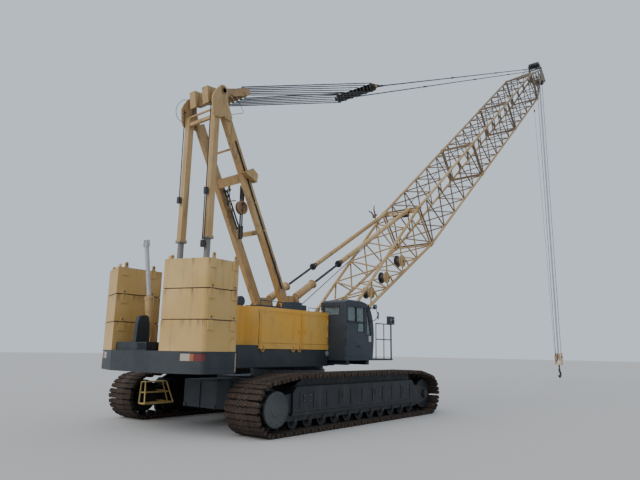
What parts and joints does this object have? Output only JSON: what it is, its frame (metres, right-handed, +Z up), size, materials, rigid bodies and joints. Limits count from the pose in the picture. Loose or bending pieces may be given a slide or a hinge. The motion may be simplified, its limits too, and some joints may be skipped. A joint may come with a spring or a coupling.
{
  "type": "crawler crane with lattice boom",
  "caption": "Lattice boom crawler crane on wide tracks, with gantry, pendants, backstops, stacked counterweights, hollow cab and machinery house, and a hook block on its ropes",
  "frame": {"origin": "middle of the box of the whole crane, on the ground under the tracks", "axes": "+X forward along the boom, +Y to the operator's left, +Z up"},
  "size_m": [38.3855, 6.766, 26.9309],
  "materials": {
    "house_paint": "weathered orange yellow paint",
    "weight_paint": "faded tan yellow paint",
    "frame_paint": "dull blue black paint",
    "cab_paint": "charcoal paint",
    "track_steel": "muddy cast steel",
    "grey_paint": "scuffed grey paint",
    "rope_steel": "greased dark steel",
    "window": "tinted window glass",
    "lamp_lens": "white, amber and red lamp lenses",
    "seat_cover": "dark seat cover"
  },
  "bodies": {
    "lower": {"carbody": "frame_paint", "slew_ring": "grey_paint", "carbody_weights": "grey_paint", "crawler_frame_right": "frame_paint", "crawler_frame_left": "frame_paint", "track_right": "track_steel", "track_left": "track_steel", "drive_tumblers": "grey_paint", "idler_wheels": "frame_paint", "track_rollers": "frame_paint", "frame_steps": "house_paint"},
    "upper": {"upper_frame": "frame_paint", "tail_tray": "frame_paint", "counterweight_right": "weight_paint", "counterweight_left": "weight_paint", "house_shell": "house_paint", "engine_block": "grey_paint", "air_cleaner": "cab_paint", "hoist_drum": "grey_paint", "cab_shell": "cab_paint", "cab_windows": "window", "cab_seat": "seat_cover", "cab_platform": "cab_paint", "roof_walkway": "cab_paint", "gantry_pedestal": "weight_paint", "gantry_legs": "weight_paint", "gantry_struts": "weight_paint", "gantry_head": "weight_paint", "gantry_sheaves": "rope_steel", "gantry_links": "rope_steel", "weight_cylinder": "weight_paint", "tail_lamps": "lamp_lens", "tail_gear": "cab_paint", "cab_fittings": "cab_paint"},
    "cab_door_leaf": {"cab_door": "cab_paint", "cab_door_window": "window"},
    "house_leaf_right_front": {"house_door_right_front": "house_paint"},
    "house_leaf_right_rear": {"house_door_right_rear": "house_paint"},
    "house_leaf_left_front": {"house_door_left_front": "house_paint"},
    "house_leaf_left_rear": {"house_door_left_rear": "house_paint"},
    "stay_reeve": {"hoist_bail": "weight_paint", "boom_hoist_ropes": "rope_steel"},
    "stay_bridle": {"bridle": "weight_paint", "boom_pendants": "rope_steel"},
    "backstop_lower": {"backstop_barrels": "weight_paint", "backstop_rods": "rope_steel"},
    "backstop_upper": {"backstop_tubes": "weight_paint", "backstop_collars": "rope_steel"},
    "boom": {"boom_base": "weight_paint", "boom_insert_1": "weight_paint", "boom_insert_2": "weight_paint", "boom_insert_3": "weight_paint", "boom_top": "weight_paint", "boom_head_sheaves": "rope_steel", "boom_guide_rollers": "rope_steel", "boom_reels": "grey_paint"},
    "hoist_line": {"hoist_ropes": "rope_steel"},
    "block": {"hook_block": "weight_paint"},
    "hook_swivel": {"hook": "rope_steel"}
  },
  "joints": [
    {"name": "swing", "type": "hinge", "parent": "lower", "child": "upper", "pos_m": [-13.02774, 0, 1.56], "axis": [0, 0, 1], "continuous": true},
    {"name": "boom_luff", "type": "hinge", "parent": "upper", "child": "boom", "pos_m": [-11.73474, 0, 2.437], "axis": [0, -1, 0], "range_deg": [-0.6, 41.4]},
    {"name": "stay_turn", "type": "hinge", "parent": "upper", "child": "stay_reeve", "pos_m": [-17.22774, 0, 10.22], "axis": [0, -1, 0], "range_deg": [-1.2, 43.66]},
    {"name": "stay_travel", "type": "slide", "parent": "stay_reeve", "child": "stay_bridle", "axis": [0.9236, 0, 0.3834], "range_m": [-6.63, 0.116]},
    {"name": "backstop_turn", "type": "hinge", "parent": "upper", "child": "backstop_lower", "pos_m": [-13.58774, 0, 3.926], "axis": [0, -1, 0], "range_deg": [-1.18, 42.15]},
    {"name": "backstop_travel", "type": "slide", "parent": "backstop_lower", "child": "backstop_upper", "axis": [0.8543, 0, 0.5198], "range_m": [-1.69, 0.034]},
    {"name": "line_plumb", "type": "hinge", "parent": "boom", "child": "hoist_line", "pos_m": [18.86274, 0, 25.68124], "axis": [0, -1, 0], "range_deg": [-41.97, 1.17]},
    {"name": "hook_travel", "type": "slide", "parent": "hoist_line", "child": "block", "axis": [0, 0, 1], "range_m": [0, 21]},
    {"name": "hook_turn", "type": "hinge", "parent": "block", "child": "hook_swivel", "pos_m": [18.86274, 0, 1.4], "axis": [0, 0, 1], "continuous": true},
    {"name": "cab_door_swing", "type": "hinge", "parent": "upper", "child": "cab_door_leaf", "pos_m": [-12.83074, -2.417, 2.9], "axis": [0, 0, -1], "range_deg": [0, 90]},
    {"name": "door_right_front_swing", "type": "hinge", "parent": "upper", "child": "house_leaf_right_front", "pos_m": [-12.97374, -1.714, 2.9], "axis": [0, 0, 1], "range_deg": [0, 90]},
    {"name": "door_right_rear_swing", "type": "hinge", "parent": "upper", "child": "house_leaf_right_rear", "pos_m": [-16.12374, -1.714, 2.9], "axis": [0, 0, -1], "range_deg": [0, 100]},
    {"name": "door_left_front_swing", "type": "hinge", "parent": "upper", "child": "house_leaf_left_front", "pos_m": [-12.97374, 1.714, 2.9], "axis": [0, 0, -1], "range_deg": [0, 90]},
    {"name": "door_left_rear_swing", "type": "hinge", "parent": "upper", "child": "house_leaf_left_rear", "pos_m": [-16.12374, 1.714, 2.9], "axis": [0, 0, 1], "range_deg": [0, 100]}
  ],
  "couplings": [
    {"joint": "stay_turn", "follows": "boom_luff", "ratio": 1.0407},
    {"joint": "stay_travel", "follows": "boom_luff", "m_per_rad": -9.1475},
    {"joint": "backstop_turn", "follows": "boom_luff", "ratio": 1.0042},
    {"joint": "backstop_travel", "follows": "boom_luff", "m_per_rad": -2.3255},
    {"joint": "line_plumb", "follows": "boom_luff", "ratio": -1}
  ]
}
